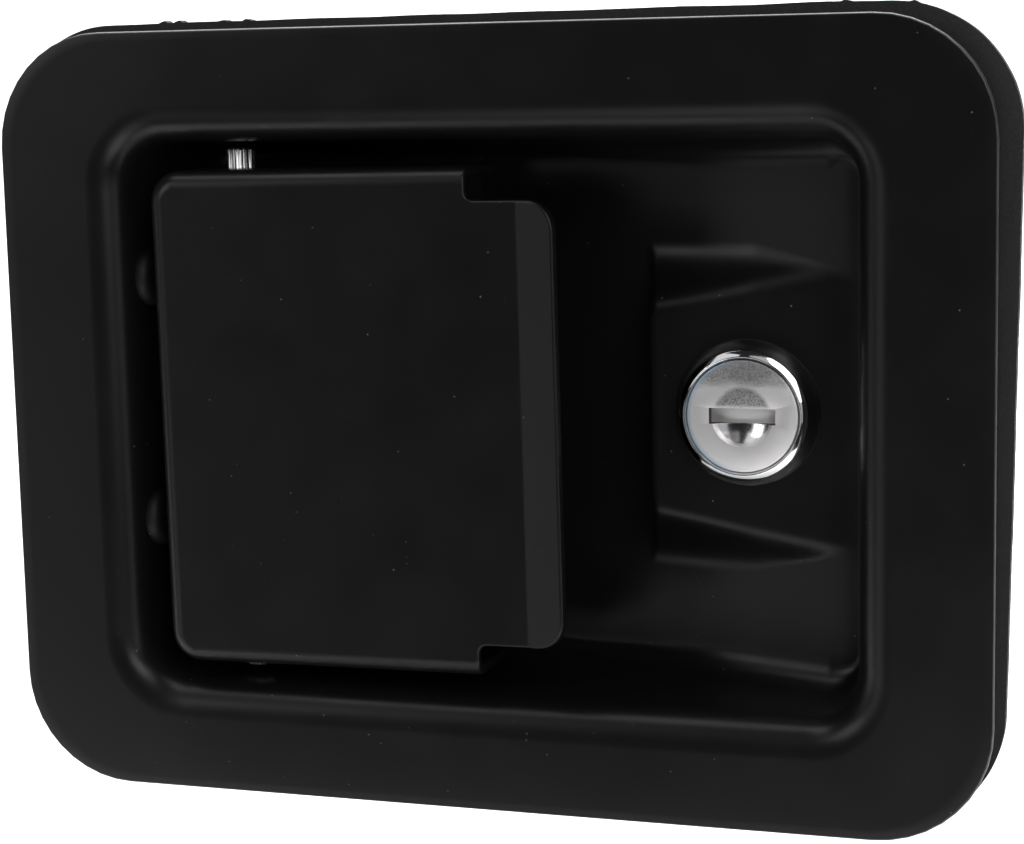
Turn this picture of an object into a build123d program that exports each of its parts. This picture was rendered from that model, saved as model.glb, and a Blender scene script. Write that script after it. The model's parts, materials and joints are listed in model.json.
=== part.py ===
"""Flush-mounted paddle latch with a key lock, in millimetres.

The latch is seen from the front along +Y, with +X to the right and +Z up. The origin is the centre of
the four mounting studs, on the plane where the gasket meets the panel. Pulling the right side of the
paddle out turns it about its upright hinge pin, and the lever behind it draws the bolt to the right.
"""

from build123d import *
import os
from math import cos, radians, sin, sqrt, tan

# Sheet and face plate
sheet = 1.5
gasket_thickness = 3.0
front = -(gasket_thickness + sheet)
plate_x, plate_z, plate_corner = 140.0, 108.0, 15.9
plate_edge_round = 0.5
bend_inner = 3.5
bend_outer = bend_inner + sheet

# Drawn pan: its mouth is measured where the walls would meet the front plane
mouth_x, mouth_z, mouth_corner = 104.4, 78.0, 6.0
wall_draft_deg = 5
wall_draft = radians(wall_draft_deg)
pan_depth = 27.0
pan_floor_round = 3.0
shelf_depth, shelf_x = 16.0, 46.5
slope_angle = radians(14)
slope_round = 12.0

# Raised lock pad on the slope, level with the shelf beside it
lock_x, lock_z = 34.5, 0.4
pad_left, pad_half, pad_flare = 21.2, 14.9, 0.18
pad_right = 55.0
pad_end_draft, pad_cheek_draft = radians(19.5), radians(35)
pad_corner_round, pad_top_round = 3.0, 2.6

# Paddle
paddle_left, paddle_half, paddle_flange = -47.4, 35.1, 13.0
notch_x, notch_round = -0.25, 1.2
tab_half, tab_bend_x, tab_tip_x = 30.55, 6.85, 12.2
tab_lip_angle, tab_corner = 11.0, 4.0
paddle_corner, paddle_edge_round = 4.4, 2.5
paddle_swing = 32.0

# Hinge pin and the bracket that carries it
pin_x, pin_depth, pin_r = -36.6, 8.6, 2.0
pin_low, pin_high = -37.9, 37.5
running = 0.05
pivot_sheet, pivot_ear_outer, pivot_ear_r = 2.0, 32.3, 5.0
pivot_left, pivot_right, pivot_ear_foot = -46.0, -7.0, 26.0

# Lever from the paddle to the bolt
lever_sheet, lever_outer = 2.2, 6.9
lever_boss_r, lever_tip_r, lever_reach = 4.5, 3.2, 25.0
lever_left, lever_right = -32.0, -12.0
floor_slot_left, floor_slot_right = -42.0, -16.0
floor_slot_half, floor_slot_round = 8.5, 1.2

# Bolt, and the window for the lever and the one for its spring
bolt_gap, bolt_thickness, bolt_half = 0.3, 10.0, 11.0
bolt_tip_x, bolt_tail_x = -80.0, 11.0
bolt_bevel_length, bolt_nose_flat = 12.0, 2.5
bolt_travel = lever_reach * sin(radians(paddle_swing))
drive_gap, drive_window_half, window_round = 0.7, 7.6, 0.6
spring_window_left, spring_window_right, spring_window_half = -28.6, 6.0, 4.5
bolt_depth = pan_depth + sheet + bolt_gap

# Bracket that holds the bolt against the back of the pan
bracket_sheet, bracket_gap = 2.0, 0.4
bracket_left, bracket_right, bracket_foot = -51.5, 9.0, 24.0
bracket_tab_x, bracket_tab_half, bracket_tab_long = 3.7, 4.0, 8.4
bracket_ear_front = 4.6
wall_rivet_depth, wall_rivet_z = 8.3, (19.3, -15.8)
floor_rivet_x, floor_rivet_z = (-41.5, -11.5), 19.0
rivet_r, rivet_head_r, rivet_head_high = 2.4, 4.2, 1.8

# Springs
coil_wire_r, coil_r, coil_turns = 0.5, 3.2, 8
guide_r, guide_long = 2.0, 16.0
torsion_wire_r, torsion_r, torsion_turns = 0.6, 3.1, 4
torsion_half, pivot_leg_x, paddle_leg_x = 3.2, 7.6, 4.6

# Mounting studs and gasket
stud_r, stud_long, stud_spacing_x, stud_spacing_z = 2.5, 18.0, 122.0, 92.0
gasket_x, gasket_z, gasket_corner = 143.0, 110.4, 17.4
gasket_hole_x, gasket_hole_z, gasket_hole_corner = 114.0, 87.6, 9.5
gasket_stud_r = 4.0

# Lock: head and barrel
lock_depth = 12.0
head_front_r, head_back_r = 8.65, 10.15
barrel_r, barrel_flats, barrel_depth = 8.0, 14.6, 32.2
lock_fit = 0.05

# Lock: plug with its cap, key channel and tail
cap_r, cap_thick = 7.75, 1.6
slot_long, slot_high = 9.2, 2.2
dimple_r, dimple_deep = 4.3, 1.1
plug_r, plug_end = 6.0, 32.5
tail_half, tail_end = 3.0, 34.8
groove_reach = 6.4

# Lock: wafers and dust shutter
wafer_first, wafer_thick, wafer_pitch, wafer_count = 18.2, 1.2, 1.9, 5
wafer_half, wafer_side, wafer_window_half = 5.1, 3.0, 4.55
channel_end = wafer_first + wafer_count * wafer_pitch
shutter_z, shutter_depth, shutter_thick = 2.2, 14.2, 0.5
shutter_half, shutter_long, shutter_pin_r, shutter_pin_half = 4.7, 3.4, 0.4, 5.3
shutter_room_end = 17.7

# Lock: nut, washers, cam and screw behind it
nut_flats, nut_thick, washer_thick, washer_r = 22.0, 4.5, 0.8, 10.8
cam_thick, cam_reach, cam_hub_r, cam_tip_half = 2.5, 23.0, 6.5, 4.5
cam_washer_r, cam_washer_thick = 4.5, 0.8
screw_r, screw_end, screw_head_r, screw_head_high = 2.0, 29.8, 3.8, 2.6


def at_depth(depth):
    """y of a point that lies this far behind the face plate's front."""
    return front + depth


def facing(depth):
    """Drawing plane seen from the front, x to the right and y up; extruding by a negative amount goes back."""
    return Plane.XZ.offset(-at_depth(depth))


def lock_plane(depth):
    """The same plane with its origin on the lock's axis."""
    return Plane(origin=(lock_x, at_depth(depth), lock_z), x_dir=(1, 0, 0), z_dir=(0, -1, 0))


def lock_disc(depth, radius, thickness):
    """Round slab on the lock's axis that goes back from a depth."""
    with BuildPart() as disc:
        with BuildSketch(lock_plane(depth)):
            Circle(radius)
        extrude(amount=-thickness)
    return disc.part


def wall_half(size, depth, grow):
    """Half the pan's width at a depth, for the skin that lies `grow` outside the front one."""
    return size / 2 - depth * tan(wall_draft) + grow / cos(wall_draft)


def pad_outline(depth, grow):
    """Corners of the lock pad's four sides where they cross a depth, for the skin `grow` behind the front one."""
    end_out = (depth - shelf_depth) * tan(pad_end_draft) - grow / cos(pad_end_draft)
    cheek_out = (depth - shelf_depth) * tan(pad_cheek_draft) - grow / cos(pad_cheek_draft)
    left = pad_left - end_out
    cheek_out *= sqrt(1 + pad_flare**2)
    left_half = pad_half + (left - pad_left) * pad_flare + cheek_out
    right_half = pad_half + (pad_right - pad_left) * pad_flare + cheek_out
    return [
        (left, lock_z - left_half),
        (pad_right, lock_z - right_half),
        (pad_right, lock_z + right_half),
        (left, lock_z + left_half),
    ]


def make_lock_pad(grow):
    """The lock pad: flat on top, with rounded edges and drafted sides that run down past the slope."""
    with BuildPart() as lock_pad:
        for depth in (shelf_depth + grow, pan_depth + grow + sheet):
            with BuildSketch(facing(depth)):
                with BuildLine():
                    Polyline(*pad_outline(depth, grow), close=True)
                make_face()
        loft(ruled=True)
        corners = lock_pad.edges().filter_by(
            lambda edge: abs(edge.center().X - pad_left) < 4 and abs(edge.tangent_at(0.5).Y) > 0.7
        )
        fillet(corners, pad_corner_round - grow)
        top_edges = lock_pad.faces().sort_by(Axis.Y)[0].edges()
        fillet(top_edges.filter_by(lambda edge: edge.center().X < pad_right - 1), pad_top_round - grow)
    return lock_pad.part


def make_raised_floor(grow):
    """What stands up from the pan's floor: the slope, the shelf beside the right wall and the lock pad."""
    lean = grow * tan(slope_angle / 2)
    foot_x = shelf_x - (pan_depth - shelf_depth) / tan(slope_angle)
    floor_y, shelf_y = at_depth(pan_depth + grow), at_depth(shelf_depth + grow)
    with BuildPart() as raised_floor:
        with BuildSketch(Plane.XY) as slope:
            with BuildLine():
                Polyline(
                    (-plate_x, floor_y),
                    (foot_x + lean, floor_y),
                    (shelf_x + lean, shelf_y),
                    (plate_x, shelf_y),
                    (plate_x, floor_y + sheet),
                    (-plate_x, floor_y + sheet),
                    close=True,
                )
            make_face()
            fillet(slope.vertices().sort_by_distance((foot_x, floor_y))[0], slope_round + grow)
            fillet(slope.vertices().sort_by_distance((shelf_x, shelf_y))[0], slope_round - grow)
        extrude(amount=plate_z, both=True)
        add(make_lock_pad(grow))
    return raised_floor.part


def make_pan_form(grow):
    """The pan as a solid, for its front skin (grow 0) or its back skin (grow of one sheet thickness)."""
    floor = pan_depth + grow

    def beside_wall(edge):
        centre = edge.center()
        depth = centre.Y - front
        from_side = wall_half(mouth_x, depth, grow) - abs(centre.X)
        from_end = wall_half(mouth_z, depth, grow) - abs(centre.Z)
        return min(from_side, from_end) < 2.0

    with BuildPart() as pan_form:
        with BuildSketch(Plane(origin=(0, front, 0), x_dir=(1, 0, 0), z_dir=(0, 1, 0))):
            width, height = 2 * wall_half(mouth_x, 0, grow), 2 * wall_half(mouth_z, 0, grow)
            RectangleRounded(width, height, mouth_corner + grow)
        extrude(amount=floor, taper=wall_draft_deg)
        add(make_raised_floor(grow), mode=Mode.SUBTRACT)
        lying = pan_form.edges().filter_by(lambda edge: abs(edge.tangent_at(0.5).Y) < 0.5)
        deep = lying.filter_by(lambda edge: edge.center().Y > at_depth(shelf_depth / 2))
        fillet(deep.filter_by(beside_wall), pan_floor_round + grow)
    return pan_form.part


def wall_point(depth, z, out):
    """Point beside the pan's left wall, `out` to the left of its front skin."""
    return (-wall_half(mouth_x, depth, 0) - out, at_depth(depth), z)


def wall_plane(depth, z, out):
    """Plane on the left wall whose normal points into the pan."""
    normal = (cos(wall_draft), -sin(wall_draft), 0)
    return Plane(origin=wall_point(depth, z, out), x_dir=(0, 0, 1), z_dir=normal)


def floor_plane(x, z, depth):
    """Plane across the pan's depth whose normal points to the front."""
    return Plane(origin=(x, at_depth(depth), z), x_dir=(1, 0, 0), z_dir=(0, -1, 0))


def stack_planes():
    """Front face of every riveted stack: two rivets through the left wall, four through the floor."""
    planes = [wall_plane(wall_rivet_depth, z, 0) for z in wall_rivet_z]
    for x in floor_rivet_x:
        for z in (floor_rivet_z, -floor_rivet_z):
            planes.append(floor_plane(x, z, pan_depth))
    return planes


def bore(plane, radius, length):
    """Cylinder that runs through a stack, for cutting its holes."""
    with BuildPart() as tool:
        with BuildSketch(plane):
            Circle(radius)
        extrude(amount=length, both=True)
    return tool.part


def make_face_pan():
    with BuildPart() as face_pan:
        with BuildSketch(facing(0)):
            RectangleRounded(plate_x, plate_z, plate_corner)
        extrude(amount=-sheet)
        add(make_pan_form(sheet))
        back_bend = face_pan.edges().filter_by(
            lambda edge: abs(edge.center().Y - at_depth(sheet)) < 0.01
            and abs(edge.center().X) < plate_x / 2 - 10
            and abs(edge.center().Z) < plate_z / 2 - 10
        )
        fillet(back_bend, bend_inner)
        add(make_pan_form(0), mode=Mode.SUBTRACT)
        on_front = face_pan.edges().filter_by(lambda edge: abs(edge.center().Y - front) < 0.01)
        mouth = on_front.filter_by(
            lambda edge: abs(edge.center().X) < plate_x / 2 - 10 and abs(edge.center().Z) < plate_z / 2 - 10
        )
        fillet(mouth, bend_outer)
        rim = face_pan.faces().filter_by(Axis.Y).sort_by(Axis.Y)[0].outer_wire().edges()
        fillet(rim, plate_edge_round)
        with BuildSketch(lock_plane(shelf_depth - sheet)):
            Circle(barrel_r + lock_fit)
            Rectangle(3 * barrel_r, barrel_flats + 2 * lock_fit, mode=Mode.INTERSECT)
        extrude(amount=-pan_depth, mode=Mode.SUBTRACT)
        with BuildSketch(facing(pan_depth - sheet)):
            with Locations(((floor_slot_left + floor_slot_right) / 2, 0)):
                RectangleRounded(floor_slot_right - floor_slot_left, 2 * floor_slot_half, floor_slot_round)
        extrude(amount=-3 * sheet, mode=Mode.SUBTRACT)
        for plane in stack_planes():
            add(bore(plane, rivet_r, 2 * sheet), mode=Mode.SUBTRACT)
    return face_pan.part


def make_mounting_studs():
    with BuildPart() as mounting_studs:
        with BuildSketch(facing(sheet)):
            with GridLocations(stud_spacing_x, stud_spacing_z, 2, 2):
                Circle(stud_r)
        extrude(amount=-stud_long)
        ends = mounting_studs.edges().filter_by(GeomType.CIRCLE).group_by(Axis.Y)[-1]
        chamfer(ends, 0.6)
    return mounting_studs.part


def make_gasket():
    with BuildPart() as gasket:
        with BuildSketch(facing(sheet)):
            RectangleRounded(gasket_x, gasket_z, gasket_corner)
            RectangleRounded(gasket_hole_x, gasket_hole_z, gasket_hole_corner, mode=Mode.SUBTRACT)
            with GridLocations(stud_spacing_x, stud_spacing_z, 2, 2):
                Circle(gasket_stud_r, mode=Mode.SUBTRACT)
        extrude(amount=-gasket_thickness)
    return gasket.part


def make_paddle_tab():
    """Finger tab: the paddle's face carried on to the right, with its end bent out towards the hand."""
    with BuildPart() as tab:
        with BuildSketch(Plane.XY.offset(-tab_half)):
            with Locations((paddle_left / 2, front)):
                Rectangle(tab_bend_x - paddle_left / 2, sheet, align=(Align.MIN, Align.MIN))
            with Locations((tab_bend_x, front + sheet)):
                Rectangle(
                    2 * (tab_tip_x - tab_bend_x), sheet, rotation=-tab_lip_angle, align=(Align.MIN, Align.MAX)
                )
        extrude(amount=2 * tab_half)
        bends = tab.edges().filter_by(Axis.Z).filter_by(
            lambda edge: abs(edge.center().X - tab_bend_x) < 1
        )
        fillet(bends, bend_inner)
        with BuildSketch(facing(-pan_depth)) as end:
            with Locations((tab_tip_x, 0)):
                Rectangle(plate_x, 2 * tab_half, align=(Align.MAX, Align.CENTER))
            fillet(end.vertices().group_by(Axis.X)[-1], tab_corner)
        extrude(amount=-2 * pan_depth, mode=Mode.INTERSECT)
    return tab.part


def make_paddle():
    with BuildPart() as paddle:
        with BuildSketch(facing(0)) as outline:
            with Locations((paddle_left, 0)):
                Rectangle(notch_x - paddle_left, 2 * paddle_half, align=(Align.MIN, Align.CENTER))
            fillet(outline.vertices().group_by(Axis.X)[0], paddle_corner)
        extrude(amount=-paddle_flange)
        face_edges = paddle.edges().filter_by(
            lambda edge: abs(edge.center().Y - front) < 0.01 and edge.center().X < notch_x - 0.01
        )
        fillet(face_edges, paddle_edge_round)
        with BuildSketch(facing(sheet)) as inside:
            with Locations((paddle_left + sheet, 0)):
                Rectangle(notch_x - paddle_left, 2 * (paddle_half - sheet), align=(Align.MIN, Align.CENTER))
            fillet(inside.vertices().group_by(Axis.X)[0], paddle_corner - sheet)
        extrude(amount=-paddle_flange, mode=Mode.SUBTRACT)
        add(make_paddle_tab())
        notch_corners = paddle.edges().filter_by(Axis.Y).filter_by(
            lambda edge: abs(edge.center().X - notch_x) < 0.01 and abs(abs(edge.center().Z) - tab_half) < 0.01
        )
        fillet(notch_corners, notch_round)
        with BuildSketch(Plane.XY.offset(-plate_z / 2)):
            with Locations((pin_x, at_depth(pin_depth))):
                Circle(pin_r)
        extrude(amount=plate_z, mode=Mode.SUBTRACT)
    return paddle.part


def make_hinge_pin():
    with BuildPart() as hinge_pin:
        with BuildSketch(Plane.XY.offset(pin_low)):
            with Locations((pin_x, at_depth(pin_depth))):
                Circle(pin_r)
        extrude(amount=pin_high - pin_low)
        chamfer(hinge_pin.edges().filter_by(GeomType.CIRCLE), 0.3)
    return hinge_pin.part


def make_pivot_bracket():
    """U-shaped bracket inside the pan, whose two ears carry the hinge pin."""
    base_front = at_depth(pan_depth - pivot_sheet)
    with BuildPart() as pivot_bracket:
        with BuildSketch(facing(pan_depth - pivot_sheet)):
            with Locations((pivot_left, 0)):
                Rectangle(pivot_right - pivot_left, 2 * pivot_ear_outer, align=(Align.MIN, Align.CENTER))
        extrude(amount=-pivot_sheet)
        for low in (-pivot_ear_outer, pivot_ear_outer - pivot_sheet):
            with BuildSketch(Plane.XY.offset(low)):
                with Locations((pin_x, at_depth(pin_depth))):
                    Circle(pivot_ear_r)
                with Locations((pin_x - pivot_ear_r + 1, base_front)):
                    Rectangle(pivot_ear_foot, pivot_sheet, align=(Align.MIN, Align.MIN))
                make_hull()
                with Locations((pin_x, at_depth(pin_depth))):
                    Circle(pin_r + running, mode=Mode.SUBTRACT)
            extrude(amount=pivot_sheet)
        with BuildSketch(facing(pan_depth - 2 * pivot_sheet)):
            with Locations(((floor_slot_left + floor_slot_right) / 2, 0)):
                RectangleRounded(floor_slot_right - floor_slot_left, 2 * floor_slot_half, floor_slot_round)
        extrude(amount=-2 * pivot_sheet, mode=Mode.SUBTRACT)
        for plane in stack_planes():
            add(bore(plane, rivet_r, 2 * pivot_sheet), mode=Mode.SUBTRACT)
    return pivot_bracket.part


def make_drive_lever():
    """U-shaped lever welded under the paddle; its two arms pass through the pan's floor into the bolt."""
    with BuildPart() as drive_lever:
        with BuildSketch(facing(sheet)):
            with Locations((lever_left, 0)):
                Rectangle(lever_right - lever_left, 2 * lever_outer, align=(Align.MIN, Align.CENTER))
        extrude(amount=-lever_sheet)
        for low in (-lever_outer, lever_outer - lever_sheet):
            with BuildSketch(Plane.XY.offset(low)):
                with BuildSketch(mode=Mode.PRIVATE) as crank:
                    with Locations((pin_x, at_depth(pin_depth))):
                        Circle(lever_boss_r)
                    with Locations((lever_left, at_depth(sheet))):
                        Rectangle(lever_right - lever_left, lever_sheet, align=(Align.MIN, Align.MIN))
                    make_hull()
                with BuildSketch(mode=Mode.PRIVATE) as arm:
                    with Locations((pin_x, at_depth(pin_depth))):
                        Circle(lever_boss_r)
                    with Locations((pin_x, at_depth(pin_depth + lever_reach))):
                        Circle(lever_tip_r)
                    make_hull()
                add(crank.sketch)
                add(arm.sketch)
                with Locations((pin_x, at_depth(pin_depth))):
                    Circle(pin_r, mode=Mode.SUBTRACT)
            extrude(amount=lever_sheet)
    return drive_lever.part


def make_latch_bolt():
    """Sliding bolt: a long window for the lever, which lets the door slam, and one for the return spring."""
    drive_right = pin_x + lever_tip_r + drive_gap
    drive_left = pin_x - lever_tip_r - drive_gap - bolt_travel
    with BuildPart() as latch_bolt:
        with BuildSketch(facing(bolt_depth)):
            with Locations((bolt_tip_x, 0)):
                Rectangle(bolt_tail_x - bolt_tip_x, 2 * bolt_half, align=(Align.MIN, Align.CENTER))
            for left, right, half in (
                (drive_left, drive_right, drive_window_half),
                (spring_window_left, spring_window_right, spring_window_half),
            ):
                with Locations(((left + right) / 2, 0)):
                    RectangleRounded(right - left, 2 * half, window_round, mode=Mode.SUBTRACT)
        extrude(amount=-bolt_thickness)
        back = at_depth(bolt_depth + bolt_thickness)
        with BuildSketch(Plane.XY.offset(-bolt_half)):
            with BuildLine():
                Polyline(
                    (bolt_tip_x, at_depth(bolt_depth + bolt_nose_flat)),
                    (bolt_tip_x + bolt_bevel_length, back),
                    (bolt_tip_x, back),
                    close=True,
                )
            make_face()
        extrude(amount=2 * bolt_half, mode=Mode.SUBTRACT)
        nose = latch_bolt.edges().filter_by(Axis.Z).filter_by(lambda edge: edge.center().X < bolt_tip_x + 0.1)
        fillet(nose, 0.8)
    return latch_bolt.part


def make_bolt_bracket():
    """Hat-shaped bracket behind the pan: feet on the floor, a channel round the bolt, ears on the left wall."""
    foot_front = pan_depth + sheet
    channel_half = bolt_half + bracket_gap
    channel_back = bolt_depth + bolt_thickness + bracket_gap
    with BuildPart() as bolt_bracket:
        with BuildSketch(Plane.YZ.offset(bracket_left)):
            with Locations((at_depth(foot_front), 0)):
                Rectangle(bracket_sheet, 2 * bracket_foot, align=(Align.MIN, Align.CENTER))
                Rectangle(
                    channel_back + bracket_sheet - foot_front,
                    2 * (channel_half + bracket_sheet),
                    align=(Align.MIN, Align.CENTER),
                )
            with Locations((at_depth(foot_front - sheet), 0)):
                Rectangle(
                    channel_back - foot_front + sheet,
                    2 * channel_half,
                    align=(Align.MIN, Align.CENTER),
                    mode=Mode.SUBTRACT,
                )
        extrude(amount=bracket_right - bracket_left)
        outer = bolt_bracket.edges().filter_by(Axis.X).group_by(Axis.Y)[-1]
        fillet(outer, bend_inner)
        with BuildSketch(facing(channel_back - sheet)):
            with Locations((bracket_tab_x, 0)):
                Rectangle(bracket_tab_long, 2 * bracket_tab_half + 1, align=(Align.MAX, Align.CENTER))
        extrude(amount=-2 * bracket_sheet - sheet, mode=Mode.SUBTRACT)
        with BuildSketch(facing(channel_back - bracket_tab_long)):
            with Locations((bracket_tab_x, 0)):
                Rectangle(bracket_sheet, 2 * bracket_tab_half, align=(Align.MIN, Align.CENTER))
        extrude(amount=-bracket_tab_long)
        for z in wall_rivet_z:
            with BuildSketch(Plane.XY.offset(z - 4.4)):
                with BuildLine():
                    Polyline(
                        wall_point(foot_front + bracket_sheet, 0, sheet / cos(wall_draft))[:2],
                        wall_point(bracket_ear_front, 0, sheet / cos(wall_draft))[:2],
                        wall_point(bracket_ear_front, 0, (sheet + bracket_sheet) / cos(wall_draft))[:2],
                        wall_point(foot_front + bracket_sheet, 0, (sheet + bracket_sheet) / cos(wall_draft))[:2],
                        close=True,
                    )
                make_face()
            extrude(amount=8.8)
            with BuildSketch(facing(foot_front)):
                with Locations((bracket_left, z)):
                    Rectangle(4, 8.8, align=(Align.CENTER, Align.CENTER))
            extrude(amount=-bracket_sheet)
        for plane in stack_planes():
            add(bore(plane, rivet_r, sheet + 2 * bracket_sheet), mode=Mode.SUBTRACT)
        with Locations((bracket_tab_x, at_depth(bolt_depth + bolt_thickness / 2), 0)):
            Cylinder(guide_r / 2, 3 * bracket_sheet, rotation=(0, 90, 0), mode=Mode.SUBTRACT)
    return bolt_bracket.part


def rivet_on(plane, front_of, length):
    """Round-headed rivet whose head seats `front_of` in front of the plane, with a flat head on its far end."""
    profile_high = rivet_head_high
    with BuildPart() as rivet:
        with BuildSketch(plane.offset(front_of)):
            Circle(rivet_head_r)
        extrude(amount=profile_high)
        fillet(rivet.edges().filter_by(GeomType.CIRCLE).sort_by_distance(plane.origin)[-1], 0.9 * profile_high)
        with BuildSketch(plane.offset(front_of)):
            Circle(rivet_r)
        extrude(amount=-length)
        with BuildSketch(plane.offset(front_of - length)):
            Circle(0.8 * rivet_head_r)
        extrude(amount=-0.6 * profile_high)
    return rivet.part


def make_bracket_rivets():
    with BuildPart() as bracket_rivets:
        for index, plane in enumerate(stack_planes()):
            inside = 0 if index < len(wall_rivet_z) else pivot_sheet
            add(rivet_on(plane, inside, inside + sheet + bracket_sheet))
    return bracket_rivets.part


def make_spring_guide():
    axis_y = at_depth(bolt_depth + bolt_thickness / 2)
    with BuildPart() as spring_guide:
        with BuildSketch(Plane(origin=(bracket_tab_x, axis_y, 0), x_dir=(0, 1, 0), z_dir=(-1, 0, 0))):
            Circle(guide_r)
        extrude(amount=guide_long)
        chamfer(spring_guide.edges().filter_by(GeomType.CIRCLE).sort_by(Axis.X)[0], 0.5)
        with BuildSketch(Plane(origin=(bracket_tab_x, axis_y, 0), x_dir=(0, 1, 0), z_dir=(1, 0, 0))):
            Circle(guide_r / 2)
        extrude(amount=bracket_sheet)
    return spring_guide.part


def make_bolt_spring():
    """Compression spring between the bolt's window and the bracket's tab, with its two ends wound close."""
    axis_y = at_depth(bolt_depth + bolt_thickness / 2)
    start = spring_window_left + coil_wire_r + 0.1
    length = bracket_tab_x - coil_wire_r - 0.1 - start
    with BuildPart() as bolt_spring:
        with BuildLine() as coil:
            Helix(length / coil_turns, length, coil_r, center=(start, axis_y, 0), direction=(1, 0, 0))
        with BuildSketch(Plane(origin=coil.line @ 0, z_dir=coil.line % 0)):
            Circle(coil_wire_r)
        sweep()
    return bolt_spring.part


def make_paddle_spring():
    """Torsion spring round the hinge pin: one leg rests on the pivot bracket, the other lifts the paddle's left."""
    coil_height = 2 * torsion_half
    seat = (pin_x - pivot_leg_x, at_depth(pan_depth - pivot_sheet) - torsion_wire_r, -torsion_half)
    lift = (pin_x - paddle_leg_x, at_depth(sheet) + torsion_wire_r, torsion_half)
    base = (pin_x, at_depth(pin_depth), -torsion_half)
    with BuildPart() as paddle_spring:
        with BuildLine() as coil:
            turns = Helix(coil_height / torsion_turns, coil_height, torsion_r, center=base, mode=Mode.PRIVATE)
            add(turns.rotate(Axis(base, (0, 0, 1)), 180))
        with BuildLine() as legs:
            Line(seat, coil.line @ 0.02)
            Line(coil.line @ 0.98, lift)
        for wire in (*coil.line.edges(), *legs.line.edges()):
            with BuildSketch(Plane(origin=wire @ 0, z_dir=wire % 0)):
                Circle(torsion_wire_r)
            sweep(path=wire)
    return paddle_spring.part


def make_lock_housing():
    """Lock case: a domed head that seats on the pad and a barrel with two flats, bored for the plug."""
    head_back = shelf_depth - lock_depth
    with BuildPart() as lock_housing:
        with BuildSketch(Plane(origin=(lock_x, at_depth(lock_depth), lock_z), x_dir=(1, 0, 0), z_dir=(0, 0, 1))):
            with BuildLine():
                Polyline((head_front_r, 0), (0, 0), (0, head_back), (head_back_r, head_back))
                ThreePointArc(
                    (head_back_r, head_back),
                    (head_back_r - 0.25, 0.4 * head_back),
                    (head_front_r, 0),
                )
            make_face()
        revolve(axis=Axis((lock_x, 0, lock_z), (0, 1, 0)))
        with BuildSketch(lock_plane(shelf_depth)):
            Circle(barrel_r)
            Rectangle(3 * barrel_r, barrel_flats, mode=Mode.INTERSECT)
        extrude(amount=shelf_depth - barrel_depth)
        add(lock_disc(lock_depth, cap_r + lock_fit, cap_thick + lock_fit), mode=Mode.SUBTRACT)
        add(lock_disc(lock_depth, plug_r + lock_fit, barrel_depth), mode=Mode.SUBTRACT)
        groove = 2 * (wafer_side + lock_fit)
        with BuildSketch(lock_plane(shutter_room_end)):
            Rectangle(2 * groove_reach, groove)
            Rectangle(groove, 2 * groove_reach)
        extrude(amount=shutter_room_end - channel_end, mode=Mode.SUBTRACT)
    return lock_housing.part


def make_plug_cap():
    """Face of the plug: a disc with the key slot through it and a shallow round dimple across the slot."""
    dish_r = (dimple_r**2 + dimple_deep**2) / (2 * dimple_deep)
    with BuildPart() as plug_cap:
        add(lock_disc(lock_depth, cap_r, cap_thick))
        chamfer(plug_cap.edges().filter_by(GeomType.CIRCLE).sort_by(Axis.Y)[0], 0.2)
        with Locations((lock_x, at_depth(lock_depth + dimple_deep) - dish_r, lock_z)):
            Sphere(dish_r, mode=Mode.SUBTRACT)
        with BuildSketch(lock_plane(lock_depth)):
            RectangleRounded(slot_long, slot_high, 0.4)
        extrude(amount=-cap_thick, mode=Mode.SUBTRACT)
    return plug_cap.part


def make_lock_plug():
    """Turning core of the lock, with the key channel, one slot for each wafer and a square tail."""
    channel_start = lock_depth + cap_thick
    room_top = shutter_z + 0.6
    with BuildPart() as lock_plug:
        add(lock_disc(channel_start, plug_r, plug_end - channel_start))
        with BuildSketch(lock_plane(plug_end)):
            Rectangle(2 * tail_half, 2 * tail_half)
        extrude(amount=plug_end - tail_end)
        with BuildSketch(lock_plane(channel_start)):
            Rectangle(slot_long, slot_high)
        extrude(amount=channel_start - channel_end, mode=Mode.SUBTRACT)
        with BuildSketch(lock_plane(channel_start)):
            with Locations((0, room_top)):
                Rectangle(2 * shutter_half + 0.2, 2 * room_top, align=(Align.CENTER, Align.MAX))
        extrude(amount=channel_start - shutter_room_end, mode=Mode.SUBTRACT)
        with Locations((lock_x, at_depth(shutter_depth), lock_z + shutter_z)):
            Cylinder(shutter_pin_r + lock_fit, 2 * shutter_pin_half + 0.2, rotation=(0, 90, 0), mode=Mode.SUBTRACT)
        for index in range(wafer_count):
            with BuildSketch(lock_plane(wafer_first + index * wafer_pitch - lock_fit)):
                Rectangle(2 * plug_r + 1, 2 * (wafer_side + lock_fit))
            extrude(amount=-wafer_thick - 2 * lock_fit, mode=Mode.SUBTRACT)
        add(lock_disc(screw_end, screw_r, plug_r), mode=Mode.SUBTRACT)
    return lock_plug.part


def make_dust_shutter():
    """Sprung flap behind the slot, hung on its own pin; a key pushes it back and up."""
    with BuildPart() as dust_shutter:
        with BuildSketch(lock_plane(shutter_depth - shutter_thick / 2)):
            with Locations((0, shutter_z)):
                Rectangle(2 * shutter_half, shutter_long, align=(Align.CENTER, Align.MAX))
        extrude(amount=-shutter_thick)
        with Locations((lock_x, at_depth(shutter_depth), lock_z + shutter_z)):
            Cylinder(shutter_pin_r, 2 * shutter_pin_half, rotation=(0, 90, 0))
    return dust_shutter.part


def make_wafer(index):
    """Flat wafer with a window for the key; they lie one behind another across the plug."""
    with BuildPart() as wafer:
        with BuildSketch(lock_plane(wafer_first + index * wafer_pitch)):
            Rectangle(2 * wafer_half, 2 * wafer_side)
            RectangleRounded(2 * wafer_window_half, slot_high + 0.2, 0.3, mode=Mode.SUBTRACT)
        extrude(amount=-wafer_thick)
    return wafer.part


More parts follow.
